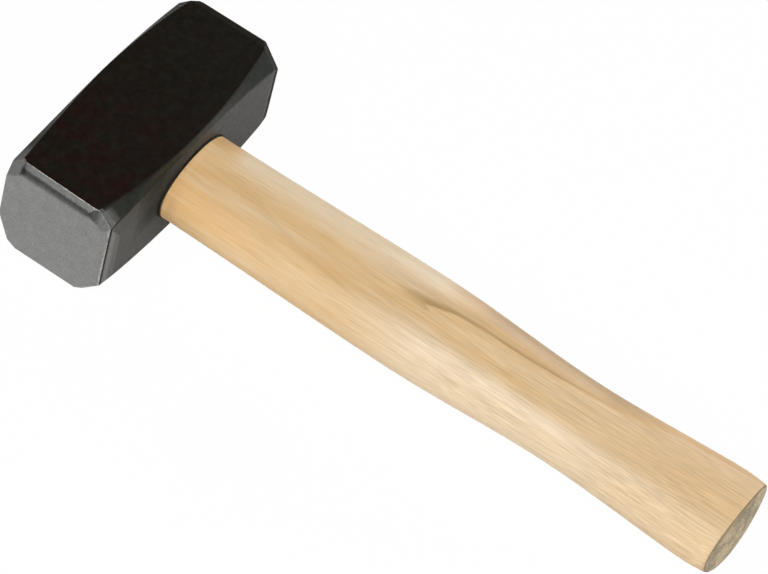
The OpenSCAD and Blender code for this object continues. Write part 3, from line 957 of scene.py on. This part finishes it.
def forged_steel(colours):
    """Drop-forged steel, dipped in black lacquer, with ground striking faces: the lacquer is
    near black with a soft sheen, the ground steel is a mottled mid grey with fine hatching."""
    material = bpy.data.materials.new("lacquered_forged_steel")
    tree = empty_tree(material)
    spot, axes = spot_and_axes(tree)
    bare = add(tree, "ShaderNodeAttribute", out="Fac", attribute_name="bare")
    edge = add(tree, "ShaderNodeAttribute", out="Fac", attribute_name="edge")

    # Grinding marks are about 0.1 mm wide, drawn at 0.4 mm to show, in two directions
    hatch = 0.0
    for scale, turn in (
        ((2200.0, 500.0, 500.0), (0.0, 0.9, 0.0)),
        ((500.0, 500.0, 2400.0), (0.0, 0.5, 0.0)),
    ):
        links = {"Vector": object_space(tree, scale, turn), "Scale": 1.0, "Detail": 2.0}
        links = {0: add(tree, NOISE, links), 1: 0.5, 2: hatch}
        hatch = add(tree, MATH, links, operation="MULTIPLY_ADD")

    # Half bare flats are patchy, by 1.4 mm: steel where the noise is high
    patches = add(tree, NOISE, {"Vector": spot, "Scale": 0.7, "Detail": 5.0, "Roughness": 0.65})
    share = add(tree, MATH, {0: bare, 1: patches}, operation="ADD")
    is_steel = add(tree, RANGE, {"Value": share, "From Min": 0.55, "From Max": 1.35})
    is_steel = add(tree, MATH, {0: is_steel, 1: bare}, operation="MULTIPLY")
    # The near corners of both upper chamfers are worn too, but above a slanting line the right
    # side isn't
    is_steel = raised(
        tree, axes, is_steel, patches,
        (("Y", -47.0, -50.5), ("X", 12.0, 15.0), ("Z", 44.6, 44.0)),
        (("Y", -42.0, -49.0), ("X", -17.5, -18.5), ("X", -22.45, -22.2), ("Z", 44.9, 44.5)),
    )
    links = {0: axes["Y"], 1: 1.27, 2: axes["Z"]}
    axes["slant"] = add(tree, MATH, links, operation="MULTIPLY_ADD")
    above = window(tree, axes, ("X", 21.9, 22.1), ("Y", -54.9, -54.5), ("slant", -27.4, -26.6))
    is_steel = add(tree, MATH, {0: is_steel, 1: above}, operation="SUBTRACT", use_clamp=True)
    # A dark seam along the outer edge of the near face's right bevel
    seam = window(
        tree, axes, ("X", 22.0, 22.1), ("Y", -52.1, -52.4), ("Y", -53.7, -53.5), ("Z", 42.0, 41.0)
    )
    is_steel = add(tree, MATH, {0: is_steel, 1: seam}, operation="MAXIMUM")
    axes["across"] = add(tree, MATH, {0: axes["X"]}, operation="ABSOLUTE")
    axes["side"] = window(tree, axes, ("across", 21.9, 22.4))
    lacquer = lacquer_colour(tree, colours, spot, axes)
    steel = steel_colour(tree, colours, spot, axes, edge, hatch, seam)
    surface = add(tree, MIX, {0: is_steel, 6: lacquer, 7: steel}, 2, data_type="RGBA")

    # The lacquer is dull and dusty: on both sides, more so on the upper part of their near half,
    # most at the far end, then on the far half of all chamfers and the near half of the left ones
    links = {"Value": patches, **NOISE_SPAN, "To Min": 0.33, "To Max": 0.43}
    rough = add(tree, RANGE, links)
    for more, limits in (
        (0.12, (("side", 0.0, 1.0),)),
        (0.3, (("side", 0.0, 1.0), ("Y", 6.0, -10.0), ("Y", -37.0, -27.0), ("Z", 16.0, 26.0))),
        (0.5, (("Y", 50.2, 51.0), ("Y", 54.97, 54.9))),
        (0.3, (("Z", 45.0, 44.6), ("Z", 0.0, 0.4), ("side", 1.0, 0.0), ("Y", 15.0, 40.0),
               ("Y", 54.9, 54.5))),
        (0.22, (("X", -13.0, -17.0), ("X", -22.45, -22.2), ("Z", 45.0, 44.6), ("Z", 0.0, 0.4),
                ("Y", 10.0, -10.0), ("Y", -54.9, -54.5))),
    ):
        dust_and_sheen = window(tree, axes, *limits, within=more)
        rough = add(tree, MATH, {0: rough, 1: dust_and_sheen}, operation="ADD")

    # Relief: orange peel of the lacquer, 1 mm wide, and hatching of the steel
    peel = add(tree, NOISE, {"Vector": spot, "Scale": 0.9, "Detail": 3.0, "Roughness": 0.6})
    relief = add(tree, MIX, {0: is_steel, 2: peel, 3: hatch})
    wire_shader(tree, relief, 0.3, 0.05, {
        "Base Color": surface,
        "Metallic": is_steel,
        "Roughness": rough,
        "Specular IOR Level": 0.3,
    })
    return material


def streaks(tree, along, across, detail=2.0, shift=(0.0, 0.0, 0.0)):
    """Noise drawn out along the grain, with its length and width in millimetres."""
    scale = (1000.0 / along, 1000.0 / across, 1000.0 / across)
    links = {"Vector": object_space(tree, scale, shift=shift), "Scale": 1.0, "Detail": detail}
    return add(tree, NOISE, links)


def growth_layer(tree, axes):
    """Which growth layer a point lies in, in millimetres. The layers are nearly flat and climb
    by over two degrees towards the butt, so that they leave the upper side in long flames."""
    # They lean to one side, fold along a line beside the handle's axis, and waver
    fold = add(tree, MATH, {0: axes["Y"], 1: 2.6}, operation="ADD")
    fold = add(tree, MATH, {0: fold}, operation="ABSOLUTE")
    waver = streaks(tree, 45.0, 7.0, 3.0)
    layer = axes["Z"]
    for value, slope in ((axes["X"], 0.045), (axes["Y"], -0.087), (fold, -0.06), (waver, 0.9)):
        layer = add(tree, MATH, {0: value, 1: slope, 2: layer}, operation="MULTIPLY_ADD")
    return layer


def ash_wood(colours):
    """Ash, turned, sanded and waxed: pale, with long open pores and a flame figure where the
    growth layers run out of the upper side."""
    material = bpy.data.materials.new("waxed_ash")
    tree = empty_tree(material)
    spot, axes = spot_and_axes(tree)
    axes["layer"] = growth_layer(tree, axes)

    # Broad warm and pale bands along the grain, the warmest near the head, and a pale painted
    # highlight on the near side
    bands = streaks(tree, 90.0, 7.0, 3.0)
    warm = add(tree, RANGE, {"Value": bands, "From Min": 0.4, "From Max": 0.66, "To Max": 0.55})
    warm = raised(
        tree, axes, warm, 0.8,
        (("X", 85.0, 22.0), ("Y", 6.0, -6.0)),
        (("X", 36.0, 30.0), ("Y", 5.0, 10.0)),
        (("X", 120.0, 145.0), ("X", 220.0, 190.0), ("Y", 2.0, 6.0)),
        (("X", 170.0, 235.0), ("Z", 27.0, 34.0), ("Y", -16.0, -9.0)),
    )
    bands = streaks(tree, 70.0, 6.0, 3.0, (40.0, 3.0, 9.0))
    pale_and_highlight = add(tree, RANGE, {"Value": bands, "From Min": 0.46, "From Max": 0.68, "To Max": 0.6})
    pale_and_highlight = raised(tree, axes, pale_and_highlight, 0.4, (("layer", 43.3, 43.9),))
    pale_and_highlight = raised(
        tree, axes, pale_and_highlight, 0.8,
        (("Y", 0.0, 8.0), ("X", 32.0, 38.0), ("X", 145.0, 120.0)),
        # The second zone is a painted highlight: a pale satin band along the near side, from the
        # belly to the butt
        (("Y", -8.0, -13.0), ("X", 95.0, 130.0), ("X", 300.0, 200.0)),
    )
    # No pale band crosses the brown stretch on the far side of the waist
    brown = window(tree, axes, ("X", 125.0, 150.0), ("X", 222.0, 200.0), ("Y", 4.0, 10.0))
    pale_and_highlight = add(tree, MATH, {0: pale_and_highlight, 1: brown}, operation="SUBTRACT", use_clamp=True)

    # Late wood: each layer darkens slowly and ends sharply. The first two draw the flame, on
    # the side away from the camera, the third one shows on the near side, the last all round
    dark = add(tree, MATH, {0: brown, 1: 0.7}, operation="MULTIPLY")
    for end, depth, strength, faint, plain in (
        (43.25, 0.6, 0.9, -5.5, -1.0), (43.25, 2.2, 0.45, -1.0, 4.0),
        (39.3, 0.8, 0.14, 3.0, -3.0), (37.0, 0.8, 0.08, -30.0, -29.0),
    ):
        dark = raised(tree, axes, dark, strength, (
            ("layer", end - depth, end), ("layer", end + 0.12, end), ("Y", faint, plain),
            ("X", 215.0, 175.0),
        ))
    # Pores are about 0.25 mm wide, drawn at 0.5 mm to show, and several millimetres long
    pores = streaks(tree, 14.0, 0.5)
    is_pore = add(tree, RANGE, {"Value": pores, "From Min": 0.57, "From Max": 0.7, "To Max": 0.33})
    wood = colours.ash
    for share, tint in (
        (warm, colours.ash_warm), (pale_and_highlight, colours.ash_pale_and_highlight),
        (dark, colours.ash_figure), (is_pore, colours.ash_pore),
    ):
        wood = add(tree, MIX, {0: share, 6: wood, 7: tint}, 2, data_type="RGBA")

    # The fine lines of the grain stand out more towards the butt
    fine = add(tree, MATH, {0: streaks(tree, 20.0, 0.45, 1.0), 1: 0.5}, operation="SUBTRACT")
    links = {"Value": axes["X"], "From Min": 90.0, "From Max": 160.0, "To Min": 0.25, "To Max": 0.6}
    links = {0: fine, 1: add(tree, RANGE, links), 2: 1.0}
    fine = add(tree, MATH, links, operation="MULTIPLY_ADD")
    # Painted shade darkens the near flank, where the key's highlight falls, and painted light
    # brightens the wood next to the head, where the head shades it
    painted_flank_shade = window(tree, axes, ("Y", -5.0, -12.0), ("X", 25.0, 110.0), within=-0.1)
    painted_light_by_head = window(tree, axes, ("X", 26.5, 23.2), within=0.3)
    tone = add(tree, MATH, {0: fine, 1: painted_flank_shade}, operation="ADD")
    tone = add(tree, MATH, {0: tone, 1: painted_light_by_head}, operation="ADD")
    wood = add(tree, "ShaderNodeVectorMath", {0: wood, "Scale": tone}, operation="SCALE")

    # End grain: darker, ringed by the growth layers of 2 mm, speckled by the cut pores, which
    # are drawn at 1 mm to show, and worn in patches of 8 mm
    ring = add(tree, MATH, {0: axes["layer"], 1: 0.5}, operation="MULTIPLY")
    ring = add(tree, MATH, {0: ring}, operation="FRACT")
    ring = add(tree, RANGE, {"Value": ring, "To Min": 1.12, "To Max": 0.85})
    ring = mottled(
        tree, spot, ring,
        (1.0, 4.0, 0.75, 0.3, 0.7, 0.45, 1.6),
        (0.13, 2.0, 0.5, 0.38, 0.62, 0.75, 1.35),
    )
    links = {0: colours.end_grain[:3], "Scale": ring}
    speckled = add(tree, "ShaderNodeVectorMath", links, operation="SCALE")
    axes["end"] = add(tree, "ShaderNodeAttribute", out="Fac", attribute_name="end_grain")
    # The rim of each end is darker
    rim = window(tree, axes, ("end", 0.25, 0.45), ("end", 0.95, 0.7), within=0.75)
    # Painted shadow: the wood inside the eye and at its mouth is painted lacquer black, in a wider
    # band on its lower near side
    painted_joint_shadow = raised(
        tree, axes, 0.0, 1.0,
        (("X", 23.3, 23.15), ("X", -22.6, -22.4)),
        (("X", 23.9, 23.4), ("X", -22.6, -22.4), ("Z", 30.0, 22.0), ("Y", -11.0, -13.0)),
    )
    for share, tint in ((axes["end"], speckled), (rim, colours.rim), (painted_joint_shadow, colours.lacquer)):
        wood = add(tree, MIX, {0: share, 6: wood, 7: tint}, 2, data_type="RGBA")

    # The wax is polished by the hand around the waist, and dull near the head and the butt
    links = {"Value": pores, **NOISE_SPAN, "To Min": 0.36, "To Max": 0.48}
    rough = add(tree, RANGE, links)
    dull = raised(tree, axes, 0.0, 0.22, (("X", 135.0, 95.0),), (("X", 185.0, 215.0),))
    rough = add(tree, MATH, {0: rough, 1: dull}, operation="ADD")
    height = add(tree, MATH, {0: fine, 1: pores}, operation="SUBTRACT")
    wire_shader(tree, height, 0.2, 0.08, {
        "Base Color": wood,
        "Roughness": rough,
        "Specular IOR Level": 0.6,
    })
    return material


def beech_wood(colours):
    """Beech, split and sawn: a darker, dry wood with short flecks, 8 mm long."""
    material = bpy.data.materials.new("sawn_beech")
    tree = empty_tree(material)
    grain = streaks(tree, 8.0, 0.4, 3.0)
    links = {"Value": grain, **NOISE_SPAN, "To Min": 0.72, "To Max": 1.15}
    links = {0: colours.wedge_wood[:3], "Scale": add(tree, RANGE, links)}
    wood = add(tree, "ShaderNodeVectorMath", links, operation="SCALE")
    wire_shader(tree, grain, 0.4, 0.1, {"Base Color": wood, "Roughness": 0.7})
    return material


def hammered_steel(colours):
    """Mild steel, sheared and driven home with a hammer: a dull grey with dents of 1.2 mm."""
    material = bpy.data.materials.new("hammered_mild_steel")
    tree = empty_tree(material)
    links = {"Vector": object_space(tree), "Scale": 0.8, "Detail": 4.0, "Roughness": 0.6}
    dents = add(tree, NOISE, links)
    links = {"Value": dents, **NOISE_SPAN, "To Min": 0.7, "To Max": 1.2}
    links = {0: colours.wedge_steel[:3], "Scale": add(tree, RANGE, links)}
    steel = add(tree, "ShaderNodeVectorMath", links, operation="SCALE")
    links = {"Base Color": steel, "Metallic": 1.0, "Roughness": 0.42}
    wire_shader(tree, dents, 0.5, 0.2, links)
    return material


def white_floor(colours):
    """Matt white board: it shows as plain white to the camera and keeps a faint shadow."""
    material = bpy.data.materials.new("matt_white_board")
    tree = empty_tree(material)
    board = add(tree, "ShaderNodeBsdfDiffuse", {"Color": colours.floor})
    glow = add(tree, "ShaderNodeEmission", {"Color": WHITE, "Strength": 1.0})
    path = add(tree, "ShaderNodeLightPath").node.outputs
    # The camera sees nearly all of the glow, and reflections see the lit board with a third of it
    seen = 0.0
    for kind, share in (
        ("Is Camera Ray", 0.98), ("Is Glossy Ray", 0.32), ("Is Transmission Ray", 0.32),
    ):
        links = {0: path[kind], 1: share, 2: seen}
        seen = add(tree, MATH, links, operation="MULTIPLY_ADD")
    both = add(tree, "ShaderNodeMixShader", {0: seen, 1: board, 2: glow})
    add(tree, "ShaderNodeOutputMaterial", {"Surface": both})
    return material


def studio_world(stage):
    """White behind the hammer to the camera, and a dim studio that is darkest overhead."""
    world = bpy.data.worlds.new("studio")
    tree = empty_tree(world)
    direction = add(tree, "ShaderNodeTexCoord", out="Generated")
    height = add(tree, "ShaderNodeSeparateXYZ", {0: direction}, "Z")
    links = {"Value": height, "From Max": 0.5, "To Min": stage.horizon, "To Max": stage.ceiling}
    level = add(tree, RANGE, links)
    path = add(tree, "ShaderNodeLightPath").node.outputs
    # Black flags stand round the table: reflections see half of the room light
    flags = add(tree, RANGE, {"Value": path["Is Glossy Ray"], "To Min": 1.0, "To Max": 0.5})
    level = add(tree, MATH, {0: level, 1: flags}, operation="MULTIPLY")
    room = add(tree, "ShaderNodeBackground", {"Color": WHITE, "Strength": level})
    white = add(tree, "ShaderNodeBackground", {"Color": WHITE, "Strength": 1.0})
    both = add(tree, "ShaderNodeMixShader", {0: path["Is Camera Ray"], 1: room, 2: white})
    add(tree, "ShaderNodeOutputWorld", {"Surface": both})
    return world


def soft_light(name, place, size, power):
    """A rectangular area lamp that looks at the handle a little before the hammer's middle."""
    lamp = bpy.data.lights.new(name, "AREA")
    lamp.shape = "RECTANGLE"
    lamp.size, lamp.size_y = size
    lamp.energy = power
    lamp_object = bpy.data.objects.new(name, lamp)
    lamp_object.location = place
    towards = LAMP_AIM - Vector(place)
    lamp_object.rotation_euler = towards.to_track_quat("-Z", "Y").to_euler()
    bpy.context.scene.collection.objects.link(lamp_object)


def photo_camera(stage):
    """The camera at the photograph's viewing angle."""
    azimuth, elevation, roll = stage.azimuth, stage.elevation, stage.roll
    back = Vector((
        math.sin(azimuth) * math.cos(elevation),
        -math.cos(azimuth) * math.cos(elevation),
        math.sin(elevation),
    ))
    right = Vector((math.cos(azimuth), math.sin(azimuth), 0.0))
    up = back.cross(right)
    right, up = (
        right * math.cos(roll) + up * math.sin(roll),
        up * math.cos(roll) - right * math.sin(roll),
    )
    turn = Matrix((right, up, back)).transposed()
    offset = turn @ Vector((-stage.aim_right, -stage.aim_up, stage.distance))
    camera = bpy.data.cameras.new("photo_camera")
    camera.sensor_width = SENSOR_WIDTH
    camera.lens = stage.lens
    camera.clip_start = 0.05
    camera.clip_end = 20.0
    camera_object = bpy.data.objects.new("photo_camera", camera)
    camera_object.matrix_world = Matrix.Translation(offset + MIDDLE) @ turn.to_4x4()
    bpy.context.scene.collection.objects.link(camera_object)
    bpy.context.scene.camera = camera_object


class CLUBHAMMER_OT_stage(bpy.types.Operator):
    """Sets up the white floor, the soft light and the camera"""

    bl_idname = "club_hammer.stage"
    bl_label = "Stage"

    def execute(self, context):
        settings = context.scene.club_hammer
        stage = settings.stage
        mesh = bpy.data.meshes.new("floor")
        signs = ((-1, -1), (1, -1), (1, 1), (-1, 1))
        corners = [(FLOOR_REACH * x, FLOOR_REACH * y, FLOOR_Z) for x, y in signs]
        mesh.from_pydata(corners, [], [(0, 1, 2, 3)])
        mesh.materials.append(white_floor(settings.colours))
        floor = bpy.data.objects.new("floor", mesh)
        context.scene.collection.objects.link(floor)
        soft_light("key_light", (-0.06, -0.84, 1.05), (0.8, 0.8), stage.key_power)
        soft_light("fill_light", (1.45, -0.35, 0.85), (0.8, 0.8), stage.fill_power)
        soft_light("back_light", (0.15, 1.4, 0.4), (1.2, 0.6), stage.back_power)
        context.scene.world = studio_world(stage)
        context.scene.view_settings.view_transform = "Standard"
        photo_camera(stage)
        return {"FINISHED"}


class CLUBHAMMER_PT_build(bpy.types.Panel):
    """Buttons that build the hammer, piece by piece"""

    bl_label = "Club Hammer"
    bl_idname = "CLUBHAMMER_PT_build"
    bl_space_type = "VIEW_3D"
    bl_region_type = "UI"
    bl_category = "Club Hammer"

    def draw(self, context):
        for operator in OPERATORS:
            self.layout.operator(operator.bl_idname)


OPERATORS = (
    CLUBHAMMER_OT_stage,
    CLUBHAMMER_OT_head,
    CLUBHAMMER_OT_handle,
    CLUBHAMMER_OT_wood_wedge,
    CLUBHAMMER_OT_steel_wedges,
)
CLASSES = (
    HeadSizes,
    HandleSizes,
    WedgeSizes,
    FinishColours,
    StageSettings,
    ClubHammerSettings,
    *OPERATORS,
    CLUBHAMMER_PT_build,
)


def register():
    """Adds the settings, the buttons and the panel."""
    for item in CLASSES:
        bpy.utils.register_class(item)
    bpy.types.Scene.club_hammer = PointerProperty(type=ClubHammerSettings)


def unregister():
    """Takes them away again."""
    del bpy.types.Scene.club_hammer
    for item in reversed(CLASSES):
        bpy.utils.unregister_class(item)


def main():
    """Registers the add-on and builds every piece."""
    register()
    bpy.ops.club_hammer.stage()
    bpy.ops.club_hammer.head()
    bpy.ops.club_hammer.handle()
    bpy.ops.club_hammer.wood_wedge()
    bpy.ops.club_hammer.steel_wedges()


if __name__ == "__main__":
    main()
